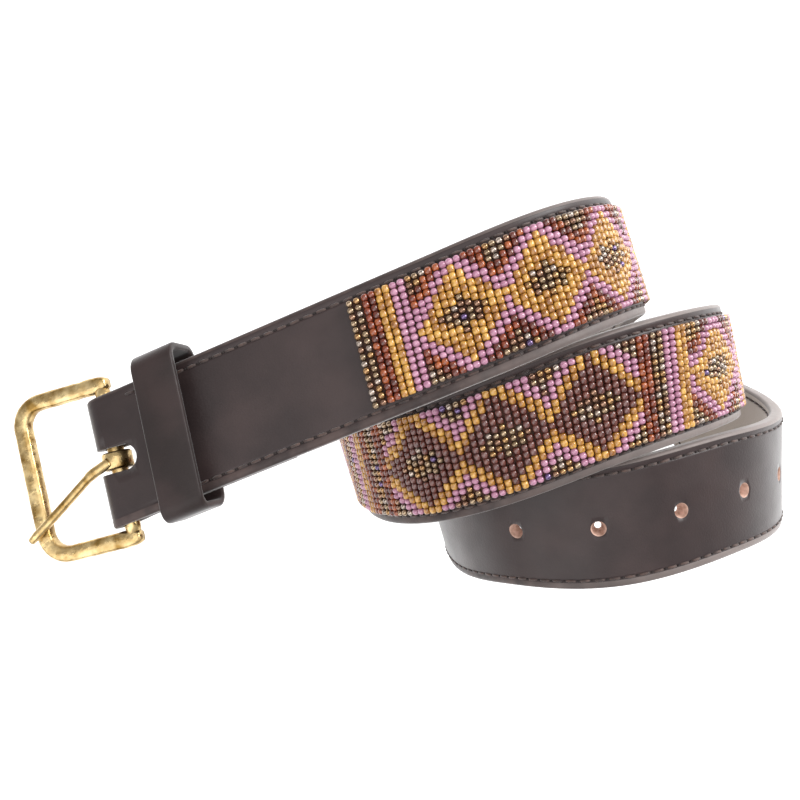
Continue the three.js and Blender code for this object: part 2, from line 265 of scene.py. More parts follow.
def at_bar(u, v, h):
    """Points held stiff at the buckle's bar: u along the strap from it, v across, h off its middle."""
    p, t, w, n = axes([BAR_AT])
    yaw = math.atan(LEAN)
    onward = t * math.cos(yaw) - w * math.sin(yaw)
    across = w * math.cos(yaw) + t * math.sin(yaw)
    u, v, h = (np.reshape(np.asarray(a, float), (-1, 1)) for a in (u, v, h))
    return (p + onward * u + across * v + n * (BAR_DROP + h) + SHIFT) * MM


# Materials.


def linear(rgb):
    out = [c / 255 for c in rgb]
    return tuple(
        [c / 12.92 if c <= 0.04045 else ((c + 0.055) / 1.055) ** 2.4 for c in out] + [1.0]
    )


def surface(
    name,
    dark,
    light,
    scale,
    roughness,
    swing=0.0,
    bump=0.0,
    bump_scale=0.0,
    depth=0.0001,
    bar_unevenness_and_painted_highlight=None,
    **sockets,
):
    """A procedural surface: two colours mixed by noise, with swinging roughness and a bump.

    A third colour, given as (colour, start, end), comes in with noise between two places along x, in
    metres: a painted highlight, paler towards +x where the light falls."""
    mat = bpy.data.materials.new(name)
    mat.use_nodes = True
    tree = mat.node_tree
    shader = tree.nodes["Principled BSDF"]
    for key, value in sockets.items():
        shader.inputs[key.replace("_", " ")].default_value = value
    shader.inputs["Roughness"].default_value = roughness
    where = tree.nodes.new("ShaderNodeTexCoord").outputs["Object"]

    def noise(size, fine):
        node = tree.nodes.new("ShaderNodeTexNoise")
        node.inputs["Scale"].default_value = size
        node.inputs["Detail"].default_value = fine
        tree.links.new(where, node.inputs["Vector"])
        return node.outputs["Fac"]

    patches = noise(scale, 4.0)
    ramp = tree.nodes.new("ShaderNodeValToRGB")
    ramp.color_ramp.elements[0].position = 0.36
    ramp.color_ramp.elements[0].color = linear(dark)
    ramp.color_ramp.elements[1].position = 0.64
    ramp.color_ramp.elements[1].color = linear(light)
    tree.links.new(patches, ramp.inputs["Fac"])
    colour = ramp.outputs["Color"]
    # Painted highlight: a paler colour mixed in towards +x, standing for light falling from the right.
    if bar_unevenness_and_painted_highlight:
        painted_highlight_colour, start, end = bar_unevenness_and_painted_highlight
        split = tree.nodes.new("ShaderNodeSeparateXYZ")
        tree.links.new(where, split.inputs["Vector"])
        jitter = tree.nodes.new("ShaderNodeMath")
        jitter.operation = "MULTIPLY_ADD"
        jitter.inputs[1].default_value = 0.05
        tree.links.new(noise(scale * 0.6, 5.0), jitter.inputs[0])
        tree.links.new(split.outputs["X"], jitter.inputs[2])
        reach = tree.nodes.new("ShaderNodeMapRange")
        reach.inputs["From Min"].default_value = start + 0.025
        reach.inputs["From Max"].default_value = end + 0.025
        tree.links.new(jitter.outputs["Value"], reach.inputs["Value"])
        mix = tree.nodes.new("ShaderNodeMix")
        mix.data_type = "RGBA"
        mix.inputs["B"].default_value = linear(painted_highlight_colour)
        tree.links.new(reach.outputs["Result"], mix.inputs["Factor"])
        tree.links.new(colour, mix.inputs["A"])
        colour = mix.outputs["Result"]
    tree.links.new(colour, shader.inputs["Base Color"])
    if swing:
        span = tree.nodes.new("ShaderNodeMapRange")
        span.inputs["From Min"].default_value = 0.3
        span.inputs["From Max"].default_value = 0.7
        span.inputs["To Min"].default_value = roughness - swing
        span.inputs["To Max"].default_value = roughness + swing
        tree.links.new(noise(scale * 2.3, 3.0), span.inputs["Value"])
        tree.links.new(span.outputs["Result"], shader.inputs["Roughness"])
    if bump:
        node = tree.nodes.new("ShaderNodeBump")
        node.inputs["Strength"].default_value = bump
        node.inputs["Distance"].default_value = depth
        tree.links.new(noise(bump_scale, 5.0), node.inputs["Height"])
        tree.links.new(node.outputs["Normal"], shader.inputs["Normal"])
    return mat


def leather_face():
    return surface(
        "leather_face", (40, 29, 29), (54, 41, 40), 45, 0.42, swing=0.08, bump=0.35,
        bump_scale=1500, depth=0.00015, Specular_IOR_Level=0.28, Coat_Weight=0.1,
        Coat_Roughness=0.3, Sheen_Weight=0.5, Sheen_Roughness=0.4,
    )


def keeper_face():
    return surface(
        "keeper_face", (34, 25, 24), (48, 36, 35), 60, 0.42, swing=0.08, bump=0.35,
        bump_scale=1500, depth=0.00015, Specular_IOR_Level=0.25, Sheen_Weight=0.3,
        Sheen_Roughness=0.4,
    )


def leather_edge():
    # Painted highlight: the edges turn pale grey towards +x, where light from the right falls on them.
    return surface(
        "leather_edge", (50, 40, 39), (74, 60, 57), 160, 0.5, swing=0.08, bump=0.35,
        bump_scale=900, depth=0.0002, bar_unevenness_and_painted_highlight=((140, 130, 126), 0.0, 0.13),
        Specular_IOR_Level=0.3, Sheen_Weight=0.4, Sheen_Roughness=0.4,
    )


def leather_lining():
    # Painted highlight: the lining turns paler towards +x, where the light falls on it.
    return surface(
        "leather_lining", (92, 80, 74), (124, 110, 102), 90, 0.7, swing=0.08, bump=0.5,
        bump_scale=1800, depth=0.0002, bar_unevenness_and_painted_highlight=((176, 164, 154), 0.02, 0.11),
        Specular_IOR_Level=0.3, Sheen_Weight=0.4, Sheen_Roughness=0.5,
    )


def leather_cut():
    return surface(
        "leather_cut", (158, 124, 108), (202, 168, 152), 500, 0.8, bump=0.4, bump_scale=2500,
        depth=0.0001,
    )


def thread():
    return surface(
        "stitch_thread", (44, 31, 29), (78, 57, 50), 420, 0.55, bump=0.5, bump_scale=3500,
        depth=0.0001, Sheen_Weight=0.2,
    )


# Painted shade: near-black blobs set into the face between the stitches, standing for the shade inside
# the stitch holes.
def painted_stitch_hole_shade():
    return surface("painted_stitch_hole_shade", (24, 17, 16), (38, 28, 26), 600, 0.8)


def backing():
    return surface("bead_backing", (62, 38, 30), (92, 58, 44), 700, 0.8, bump=0.3, bump_scale=2500)


def brass():
    return surface(
        "buckle_brass", (150, 118, 64), (230, 204, 152), 190, 0.3, swing=0.13, bump=0.6,
        bump_scale=420, depth=0.0004, Metallic=1.0,
    )


def glass(name, dark, light, roughness=0.12, **sockets):
    return surface(name, dark, light, 900, roughness, Coat_Weight=0.6, Coat_Roughness=0.06, **sockets)


# Bead kinds by their letter in the pattern. Sizes are in millimetres: radius, length along the
# thread, and the room that a column of them takes along the strap. square is how straight the
# sides are.
BEADS = {
    "P": dict(
        name="pink", radius=1.17, length=1.94, room=2.36, square=-0.6, finish={},
        tints=[((156, 104, 128), (182, 130, 154)), ((166, 114, 138), (192, 142, 164))],
    ),
    "G": dict(
        name="gold", radius=1.11, length=2.04, room=2.06, square=0.75, finish={},
        tints=[
            ((142, 90, 30), (194, 146, 66)),
            ((158, 104, 38), (210, 164, 80)),
            ((124, 74, 24), (176, 124, 50)),
        ],
    ),
    "R": dict(
        name="garnet", radius=1.07, length=1.94, room=2.08, square=0.5, finish={},
        tints=[
            ((66, 24, 16), (104, 42, 26)),
            ((84, 30, 18), (138, 62, 32)),
            ((104, 42, 20), (166, 86, 40)),
        ],
    ),
    "D": dict(
        name="root_brown", radius=1.08, length=2.0, room=2.12, square=0.5, finish={},
        tints=[
            ((74, 38, 32), (110, 62, 52)),
            ((78, 44, 42), (112, 72, 66)),
            ((70, 32, 28), (102, 54, 44)),
        ],
    ),
    "M": dict(
        name="metal", radius=1.06, length=1.88, room=2.3, square=-0.6, finish=dict(Metallic=0.8),
        tints=[
            ((118, 96, 72), (168, 144, 116)),
            ((108, 76, 58), (152, 116, 92)),
            ((134, 98, 58), (180, 140, 92)),
            ((84, 66, 104), (120, 98, 142)),
            ((136, 122, 112), (182, 166, 154)),
        ],
        shares=[9, 5, 5, 1, 5],
    ),
}


# Mesh helpers.


def new_piece(name, points, faces, materials, slots=None):
    mesh = bpy.data.meshes.new(name)
    mesh.from_pydata([tuple(p) for p in points], [], [tuple(int(i) for i in f) for f in faces])
    for mat in materials:
        mesh.materials.append(mat)
    if slots is not None:
        mesh.polygons.foreach_set("material_index", np.asarray(slots, np.int32))
    mesh.polygons.foreach_set("use_smooth", np.ones(len(mesh.polygons), bool))
    mesh.validate()
    mesh.update()
    piece = bpy.data.objects.new(name, mesh)
    bpy.context.scene.collection.objects.link(piece)
    return piece


def tube_faces(rings, count, closed=False):
    """Quads between rings of count points, with an end face at each end of an open row."""
    faces = []
    for i in range(rings if closed else rings - 1):
        for j in range(count):
            a, b = i * count + j, i * count + (j + 1) % count
            shift = ((i + 1) % rings - i) * count
            faces.append((a, b, b + shift, a + shift))
    if not closed:
        faces.append(tuple(range(count - 1, -1, -1)))
        faces.append(tuple((rings - 1) * count + j for j in range(count)))
    return faces


def repeated(template, faces, centres, axes_in, sizes):
    """Copies of a template: each has its own centre, three axes and three sizes."""
    pts = template[None, :, :] * sizes[:, None, :]
    moved = np.einsum("bvk,bkx->bvx", pts, axes_in) + centres[:, None, :]
    count = len(template)
    all_faces = [tuple(i + b * count for i in f) for b in range(len(centres)) for f in faces]
    return moved.reshape(-1, 3), all_faces


def cut(piece, cutter):
    """Takes the cutter away from the piece; the new walls keep the cutter's material."""
    mod = piece.modifiers.new("cut", "BOOLEAN")
    mod.operation = "DIFFERENCE"
    mod.solver = "EXACT"
    mod.material_mode = "TRANSFER"
    mod.object = cutter
    bpy.context.view_layer.update()
    done = bpy.data.meshes.new_from_object(piece.evaluated_get(bpy.context.evaluated_depsgraph_get()))
    piece.modifiers.clear()
    piece.data = done
    bpy.data.objects.remove(cutter)


def dress(piece, body, node):
    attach(piece, body)
    if node:
        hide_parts(node)


# The strap.

FACE_MAT, EDGE_MAT, LINING_MAT, CUT_MAT = range(4)
STITCH_LINE = 16.1


def half_width(s):
    """Half the strap's width, rounded in at its tip."""
    into = max(s - (STRAP_LENGTH - TIP_ROUND), 0)
    share = min(into / TIP_ROUND, 0.995)
    return STRAP_WIDTH / 2 * math.sqrt(1 - share * share)


# Where the folded-back end comes to lie on the strap, where the leather has its full thickness
# again, and how far the two plies stay apart.
FOLD_MEETS = 14.5
FOLD_FULL = 18.0
PLY_GAP = 0.06


def strap_course():
    """The leather's own course as rows of (s, h, normal s, normal h, thickness), from the end that
    is folded back, round the bar and on to the tip."""
    rows = []
    under = -HALF - FOLD_THICK / 2 - PLY_GAP
    for s in np.linspace(FOLD_BACK + 1, FOLD_MEETS, 36):
        thin = 0.5 + 0.5 * min((FOLD_BACK + 1 - s) / 3, 1)
        rows.append((s, under, FOLD_THICK * thin - PLY_GAP))
    turn = FOLD_THICK / 2 + BAR_RADIUS + BAR_PLAY
    for f in np.linspace(0.1, 0.95, 8):
        ease = f * f * (3 - 2 * f)
        s = FOLD_MEETS - (FOLD_MEETS - BAR_AT) * f
        rows.append((s, under + (BAR_DROP - turn - under) * ease, FOLD_THICK - PLY_GAP))
    for a in np.radians(np.linspace(-90, -270, 15)):
        rows.append((BAR_AT + turn * math.cos(a), BAR_DROP + turn * math.sin(a), FOLD_THICK))
    for f in np.linspace(0.12, 1, 9):
        s = BAR_AT + (FOLD_FULL - BAR_AT) * f
        thick = FOLD_THICK + (STRAP_THICK - FOLD_THICK) * f
        rows.append((s, HALF - thick / 2, thick))
    for s in np.arange(19.2, STRAP_LENGTH - TIP_ROUND, 1.25):
        rows.append((s, 0, STRAP_THICK))
    for f in np.sin(np.linspace(0, math.pi / 2, 16)):
        rows.append((STRAP_LENGTH - TIP_ROUND + TIP_ROUND * f, 0, STRAP_THICK))
    line = np.array(rows)
    way = unit(np.gradient(line[:, :2], axis=0))
    return line, np.column_stack([-way[:, 1], way[:, 0]])


def strap_section(half, thick, groove):
    """Points round the section as (across, off), and the material of the face after each."""
    r = min(1.1, thick * 0.4, half * 0.45)
    top, low = thick / 2, -thick / 2
    pts = []
    line = min(STITCH_LINE, half - 2.4)
    inner = [line + 0.55, line + 0.28, line, line - 0.28, line - 0.55]
    dip = [0, 0.75, 1, 0.75, 0]
    for v in np.linspace(-1, 1, 9):
        pts.append((v * (line - 0.9), top, FACE_MAT))
    for v, d in zip(reversed(inner), dip):
        pts.append((v, top - groove * d, FACE_MAT))
    for a in (90, 60, 30, 0):
        c, s = math.cos(math.radians(a)), math.sin(math.radians(a))
        pts.append((half - r + r * c, top - r + r * s, EDGE_MAT))
    pts.append((half - 0.12, 0.1, EDGE_MAT))
    for a in (0, -30, -60, -90):
        c, s = math.cos(math.radians(a)), math.sin(math.radians(a))
        pts.append((half - r + r * c, low + r + r * s, EDGE_MAT if a > -90 else LINING_MAT))
    right_side = pts[14:]
    for v, d in zip(inner, dip):
        pts.append((v, low + groove * d, LINING_MAT))
    for v in np.linspace(1, -1, 7):
        pts.append((v * (line - 0.9), low, LINING_MAT))
    for v, d in zip(reversed(inner), dip):
        pts.append((-v, low + groove * d, LINING_MAT))
    for v, h, mat in reversed(right_side):
        pts.append((-v, h, EDGE_MAT))
    for v, d in zip(inner, dip):
        pts.append((-v, top - groove * d, FACE_MAT))
    return pts


def slot_cutter():
    """The slot for the prong, through the fold, with its round end."""
    r = SLOT_WIDTH / 2
    end = SLOT_LENGTH - BAR_AT - r
    outline = [(-12.0, r), (-12.0, -r)]
    outline += [(end + r * math.sin(a), -r * math.cos(a)) for a in np.linspace(0, math.pi, 13)]
    pts = np.vstack(
        [at_bar([u for u, _ in outline], [v for _, v in outline], [h] * len(outline)) for h in (-12, 12)]
    )
    return new_piece("slot_cutter", pts, tube_faces(2, len(outline)), [leather_edge()])


HOLE_SIDES = 24


def hole_cutter(s, mat):
    """A punch through the strap at s: the leather closes in again towards the lining."""
    p, t, w, n = (a[0] for a in axes([s]))
    rings = [
        (-HALF - 1, 0.42),
        (-HALF, 0.5),
        (0, 0.8),
        (HALF - 0.5, 1.0),
        (HALF + 0.05, 1.14),
        (HALF + 1, 1.3),
    ]
    pts = []
    for h, wide in rings:
        for a in np.linspace(0, 2 * math.pi, HOLE_SIDES, endpoint=False):
            r = HOLE_RADIUS * wide
            pts.append((p + t * r * math.cos(a) + w * r * math.sin(a) + n * h + SHIFT) * MM)
    return new_piece("hole_cutter", pts, tube_faces(len(rings), HOLE_SIDES), [mat])


def recalculated(piece):
    """Turns every face of a closed piece outwards."""
    bm = bmesh.new()
    bm.from_mesh(piece.data)
    bmesh.ops.recalc_face_normals(bm, faces=bm.faces)
    bm.to_mesh(piece.data)
    bm.free()
    return piece


def make_strap():
    line, off = strap_course()
    points, slots = [], []
    sections = []
    for (s, h, thick), (ns, nh) in zip(line, off):
        folded = thick < STRAP_THICK - 0.2
        section = strap_section(half_width(s), thick, 0.02 if folded else 0.22)
        sections.append(section)
        v = np.array([p[0] for p in section])
        k = np.array([p[1] for p in section])
        points.append(place(s + ns * k, v, h + nh * k))
    count = len(sections[0])
    faces = tube_faces(len(sections), count)
    for i in range(len(sections) - 1):
        slots += [p[2] for p in sections[i]]
    slots += [EDGE_MAT, EDGE_MAT]
    cut_mat = leather_cut()
    mats = [leather_face(), leather_edge(), leather_lining(), cut_mat]
    strap = new_piece("strap_leather", np.vstack(points), faces, mats, slots)
    recalculated(strap)
    cut(strap, recalculated(slot_cutter()))
    for i in range(HOLE_COUNT):
        s = STRAP_LENGTH - LAST_HOLE_TO_TIP - (HOLE_COUNT - 1 - i) * HOLE_PITCH
        cut(strap, recalculated(hole_cutter(s, cut_mat)))
    dress(strap, "belt", "strap")


# Stitches.

STITCH_PITCH = 4.1
STITCH_SINK = 0.12
FIRST_STITCH = 16.0


def stitch_places(start, side):
    """Middles and directions of the stitches in the strap's own plane, round one edge and the tip."""
    line = [(s, STITCH_LINE) for s in np.arange(start, STRAP_LENGTH - TIP_ROUND, 1.0)]
    reach = TIP_ROUND - (STRAP_WIDTH / 2 - STITCH_LINE)
    for a in np.linspace(0, math.pi / 2, 40):
        line.append((STRAP_LENGTH - TIP_ROUND + reach * math.sin(a), STITCH_LINE * math.cos(a)))
    line = np.array(line)
    run = np.concatenate([[0], np.cumsum(np.linalg.norm(np.diff(line, axis=0), axis=1))])
    at = np.arange(STITCH_PITCH / 2, run[-1], STITCH_PITCH)
    mid = np.column_stack([np.interp(at, run, line[:, k]) for k in (0, 1)])
    ahead = np.column_stack([np.interp(at + 0.5, run, line[:, k]) for k in (0, 1)])
    way = unit(ahead - mid)
    return mid * [1, side], way * [1, side]


def rod_template(xs, zs, rs, sides=6):
    pts = []
    for x, z, r in zip(xs, zs, rs):
        for a in np.linspace(0, 2 * math.pi, sides, endpoint=False):
            pts.append((x, r * math.cos(a), z + r * math.sin(a)))
    return np.array(pts), tube_faces(len(xs), sides)


def make_stitches():
    stitch, stitch_faces = rod_template(
        [-1.62, -1.35, -0.6, 0.6, 1.35, 1.62],
        [-0.42, -0.08, 0.1, 0.1, -0.08, -0.42],
        [0.2, 0.36, 0.42, 0.42, 0.36, 0.2],
    )
    # The pits are painted shade: dark blobs where the thread's holes are.
    pit, pit_faces = rod_template([-0.42, -0.2, 0.2, 0.42], [0, 0, 0, 0], [0.1, 0.34, 0.34, 0.1])
    made = dict(stitch=[], pit=[])
    for face in (1, -1):
        for side in (1, -1):
            mid, way = stitch_places(FIRST_STITCH if face > 0 else FOLD_BACK + 4, side)
            for name, ahead in (("stitch", 0.0), ("pit", STITCH_PITCH / 2)):
                s = mid[:, 0] + way[:, 0] * ahead
                v = mid[:, 1] + way[:, 1] * ahead
                p, t, w, n = axes(s)
                d = unit(t * way[:, :1] + w * way[:, 1:])
                up = n * face
                centre = p + w * v[:, None] + up * (HALF - STITCH_SINK)
                rolled = np.array([[rng.uniform(-0.09, 0.09)] for _ in s])
                across = np.cross(up, d)
                d = unit(d + across * rolled)
                across = np.cross(up, d)
                made[name].append((centre, np.stack([d, across, up], axis=1)))
    for name, template, faces, mat in (
        ("stitch", stitch, stitch_faces, thread()),
        ("pit", pit, pit_faces, painted_stitch_hole_shade()),
    ):
        centres = np.vstack([c for c, _ in made[name]])
        frames = np.vstack([f for _, f in made[name]])
        sizes = np.array([[rng.uniform(0.94, 1.05), 1.0, 1.0] for _ in centres])
        pts, all_faces = repeated(template, faces, centres, frames, sizes)
        piece = new_piece(f"strap_{name}", (pts + SHIFT) * MM, all_faces, [mat])
        recalculated(piece)
        dress(piece, "belt", None)


# The bead field.

COLUMN_PITCH = 2.2
ROW_PITCH = 2.04
FIRST_COLUMN = 86.1
ROWS = 7
# Runs of single-colour columns by letter, and runs of diamonds by their colour, their count and
# how widely their columns are set.
PATTERN = [
    "MMRRGGPP",
    ("G", 3, 0.92),
    "PPGGRRMM",
    "RRGGPP",
    ("G", 7, 1.036),
    "PPGGRRMM",
    "PPGGRRMMRR",
    ("D", 3, 1.0),
    "RRMMPPGG",
    ("G", 1, 1.0),
    "PPGGRRMMRR",
]
DIAMOND_HALF = 6


def diamond_bead(fill, m, j):
    """The letter of the bead m columns from a diamond's middle, in row j from the strap's middle."""
    t = ROWS - abs(j)
    if 1.3 * abs(j) + m <= 3.3:
        return "M"
    if t > m:
        return fill
    if fill == "G":
        return "P" if t >= m - 1 else "R" if t >= m - 3 else "M"
    return "G" if t >= m - 1 else "P" if t >= m - 3 else "M"


def bead_chart():
    """The letters of each column, from one edge to the other, and the room that each column takes."""
    columns, rooms = [], []
    rows = range(-ROWS, ROWS + 1)
    for run in PATTERN:
        if isinstance(run, str):
            columns += [[letter] * (2 * ROWS + 1) for letter in run]
            rooms += [BEADS[letter]["room"] for letter in run]
            continue
        fill, count, wide = run
        made = []
        for i in range(2 * DIAMOND_HALF * count + 1):
            m = abs(i % (2 * DIAMOND_HALF) - DIAMOND_HALF)
            made.append([diamond_bead(fill, m, j) for j in rows])
        columns += made
        rooms += [COLUMN_PITCH * wide] * len(made)
    return columns, np.array(rooms)


BEAD_SIDES = 10


def bead_template(square):
    """A bead of unit size with its hole along y: round ends where square is 0, straight sides at 1."""
    shoulder = 0.9 + 0.07 * square
    end = 0.6 + 0.24 * square
    half = [(0.56, shoulder), (0.97, end), (0.92, 0.34)]
    section = [(0, 1.0)] + half + [(-y, r) for y, r in reversed(half)]
    pts = []
    for a in np.linspace(0, 2 * math.pi, BEAD_SIDES, endpoint=False):
        for y, r in section:
            pts.append((r * math.cos(a), y, r * math.sin(a)))
    return np.array(pts), tube_faces(BEAD_SIDES, len(section), closed=True)


def column_centres(rooms):
    """Where each column lies along the strap, fitted to the length of the field."""
    rooms = rooms * COLUMN_PITCH * len(rooms) / rooms.sum()
    return FIRST_COLUMN - COLUMN_PITCH / 2 + np.cumsum(rooms) - rooms / 2


def strung(letters):
    """The beads threaded across one column as (middle, length, letter), filling the field's width."""
    width = ROW_PITCH * len(letters)
    low = -width / 2
    beads = []
    while True:
        row = int(np.clip(round((low + 0.97 + width / 2) / ROW_PITCH - 0.5), 0, len(letters) - 1))
        letter = letters[row]
        length = BEADS[letter]["length"] * rng.uniform(0.94, 1.06)
        if low + 0.55 * length > width / 2:
            break
        beads.append([low + length / 2, length, letter])
        low += length
    fit = width / (low + width / 2)
    return [((v + width / 2) * fit - width / 2, length * fit, letter) for v, length, letter in beads]


def make_beads():
    groups = {letter: [] for letter in BEADS}
    columns, rooms = bead_chart()
    for centre, letters in zip(column_centres(rooms), columns):
        sway = rng.uniform(-0.06, 0.06)
        for v, length, letter in strung(letters):
            s = centre + sway + rng.uniform(-0.06, 0.06)
            groups[letter].append((s, v, length, rng.uniform(-0.08, 0.08), rng.uniform(-0.06, 0.06)))
    first = True
    for letter, beads in groups.items():
        look = BEADS[letter]
        template, faces = bead_template(look["square"])
        s, v, length, yaw, lift = (np.array(c) for c in zip(*beads))
        p, t, w, n = axes(leaned(s, v))
        radius = look["radius"] * np.array([rng.uniform(0.95, 1.03) for _ in beads])
        centre = p + w * v[:, None] + n * (BED_TOP - radius + lift)[:, None]
        t2 = unit(t + w * (yaw - lean_at(s))[:, None])
        w2 = np.cross(n, t2)
        sizes = np.column_stack([radius, length / 2 * 0.985, radius])
        pts, all_faces = repeated(template, faces, centre, np.stack([t2, w2, n], axis=1), sizes)
        tints = [
            glass(f"bead_{look['name']}_{k}", dark, light, **look["finish"])
            for k, (dark, light) in enumerate(look["tints"])
        ]
        shares = look.get("shares", [1] * len(tints))
        picks = rng.choices(range(len(tints)), shares, k=len(beads))
        slots = np.repeat(picks, len(faces))
        piece = new_piece(f"beads_{look['name']}", (pts + SHIFT) * MM, all_faces, tints, slots)
        recalculated(piece)
        dress(piece, "belt", "bead_panel" if first else None)
        first = False


def make_backing():
    grid = np.arange(PANEL_START + 0.3, PANEL_START + PANEL_LENGTH - 0.3, 1.5)
    side = PANEL_WIDTH / 2 - 0.4
    ring = [(-side, HALF - 0.3), (side, HALF - 0.3), (side, HALF + 0.55), (-side, HALF + 0.55)]
    pts = np.stack([place(grid, np.full(len(grid), v), np.full(len(grid), h)) for v, h in ring], axis=1)
    piece = new_piece("bead_backing", pts.reshape(-1, 3), tube_faces(len(grid), 4), [backing()])
    recalculated(piece)
    for face in piece.data.polygons:
        face.use_smooth = False
    dress(piece, "belt", None)


# The buckle.

BAR_SIDES = 20
DRUM_SIDES = 28
EYE_SIDES = 32


def frame_line():
    """The middle of the buckle's bar as (u, v): down one arm, round the far bar and up the other."""
    arm = STRAP_WIDTH / 2 + FRAME_GAP + FRAME_BAR / 2
    far = -FRAME_REACH + FRAME_BAR / 2
    r = 7.2
    end = 2.3
    pts = [(u, -arm) for u in np.linspace(end, far + r, 20)]
    pts += [(far + r - r * math.sin(a), -arm + r - r * math.cos(a)) for a in np.linspace(0.2, 1.5, 8)]
    pts += [(far, v) for v in np.linspace(-arm + r, arm - r, 18)]
    pts += [(far + r - r * math.cos(a), arm - r + r * math.sin(a)) for a in np.linspace(0.07, 1.37, 8)]
    pts += [(u, arm) for u in np.linspace(far + r, end, 20)]
    return np.array(pts)


def bar_section(wide, thick, square):
    """A rounded square section as (across, off)."""
    out = []
    for a in np.linspace(0, 2 * math.pi, BAR_SIDES, endpoint=False):
        c, s = math.cos(a), math.sin(a)
        across = wide / 2 * math.copysign(abs(c) ** square, c)
        off = thick / 2 * math.copysign(abs(s) ** square, s)
        out.append((across, off))
    return out


def swept_bar(name, line, heights, wides, thicks, mat, square=0.62):
    way = unit(np.gradient(line, axis=0))
    side = np.column_stack([-way[:, 1], way[:, 0]])
    pts = []
    for (u, v), (su, sv), h, wide, thick in zip(line, side, heights, wides, thicks):
        for a, k in bar_section(wide, thick, square):
            pts.append((u + su * a, v + sv * a, h + k))
    pts = np.array(pts)
    faces = tube_faces(len(line), BAR_SIDES)
    return recalculated(new_piece(name, at_bar(pts[:, 0], pts[:, 1], pts[:, 2]), faces, [mat]))


def drum(name, v0, v1, radius, mat):
    """A round bar along v, with its ends eased."""
    pts = []
    rows = [(0, 0.86), (0.06, 0.97), (0.2, 1), (0.8, 1), (0.94, 0.97), (1, 0.86)]
    for f, share in rows:
        for a in np.linspace(0, 2 * math.pi, DRUM_SIDES, endpoint=False):
            pts.append((radius * share * math.cos(a), v0 + (v1 - v0) * f, radius * share * math.sin(a)))
    pts = np.array(pts)
    faces = tube_faces(len(rows), DRUM_SIDES)
    return recalculated(new_piece(name, at_bar(pts[:, 0], pts[:, 1], pts[:, 2]), faces, [mat]))


def join(pieces, name):
    bpy.ops.object.select_all(action="DESELECT")
    for piece in pieces:
        piece.select_set(True)
    bpy.context.view_layer.objects.active = pieces[0]
    bpy.ops.object.join()
    pieces[0].name = name
    return pieces[0]


def make_buckle():
    mat = brass()
    line = frame_line()
    # These random values only make the bar's width and thickness uneven; no colour comes from them.
    bar_unevenness_and_painted_highlight = np.array([rng.uniform(-1, 1) for _ in line])
    bar_unevenness_and_painted_highlight = np.convolve(bar_unevenness_and_painted_highlight, [0.25, 0.5, 0.25], "same")
    wides = FRAME_BAR + 0.35 + 0.36 * bar_unevenness_and_painted_highlight
    thicks = FRAME_BAR - 0.3 - 0.3 * bar_unevenness_and_painted_highlight
    for end, share in ((0, 0.66), (1, 0.92), (-1, 0.66), (-2, 0.92)):
        wides[end] = FRAME_BAR * share
        thicks[end] = FRAME_BAR * share
    bar = swept_bar("bar", line, np.zeros(len(line)), wides, thicks, mat)
    arm = STRAP_WIDTH / 2 + FRAME_GAP
    heel = drum("heel", -arm - 1.5, arm + 1.5, BAR_RADIUS, mat)
    buckle = join([bar, heel], "buckle_bars")
    dress(buckle, "frame", "buckle_frame")


def make_prong():
    mat = brass()
    eye_in = BAR_RADIUS + BAR_PLAY
    eye_out = eye_in + 1.6
    pts = []
    section = [
        (-2.6, eye_in),
        (-2.6, eye_out - 0.5),
        (-2.1, eye_out),
        (2.1, eye_out),
        (2.6, eye_out - 0.5),
        (2.6, eye_in),
    ]
    for a in np.linspace(0, 2 * math.pi, EYE_SIDES, endpoint=False):
        for v, r in section:
            pts.append((r * math.cos(a), v, r * math.sin(a)))
    pts = np.array(pts)
    faces = tube_faces(EYE_SIDES, len(section), True)
    eye = recalculated(new_piece("eye", at_bar(pts[:, 0], pts[:, 1], pts[:, 2]), faces, [mat]))
    lift = FRAME_BAR / 2 + SEAT_GAP + PRONG_ROD
    keys = np.array(
        [
            (-0.6, -0.2, eye_in + 0.8),
            (-6.6, -2.6, lift + 0.85),
            (-16.3, -8.6, lift + 0.5),
            (5 - FRAME_REACH, -13.9, lift + 0.15),
            (-FRAME_REACH - 0.3, -17.0, lift - 0.1),
        ]
    )
    at = np.linspace(0, len(keys) - 1, 40)
    line = np.column_stack([np.interp(at, range(len(keys)), keys[:, k]) for k in range(3)])
    for _ in range(4):
        line[1:-1] = (line[:-2] + 2 * line[1:-1] + line[2:]) / 4
    gone = at / at[-1]
    base = gone < 0.26
    rod_size = PRONG_ROD * 2 - 0.2
    wide = np.where(base, 3.0, rod_size - 0.5 * np.clip((gone - 0.9) / 0.1, 0, 1))
    thick = np.where(base, 2.9, rod_size - 0.6 * np.clip((gone - 0.88) / 0.12, 0, 1))
    rod = swept_bar("rod", line[:, :2], line[:, 2], wide, thick, mat, square=0.8)
    dress(join([eye, rod], "buckle_prong"), "pin", "prong")


# The keeper.


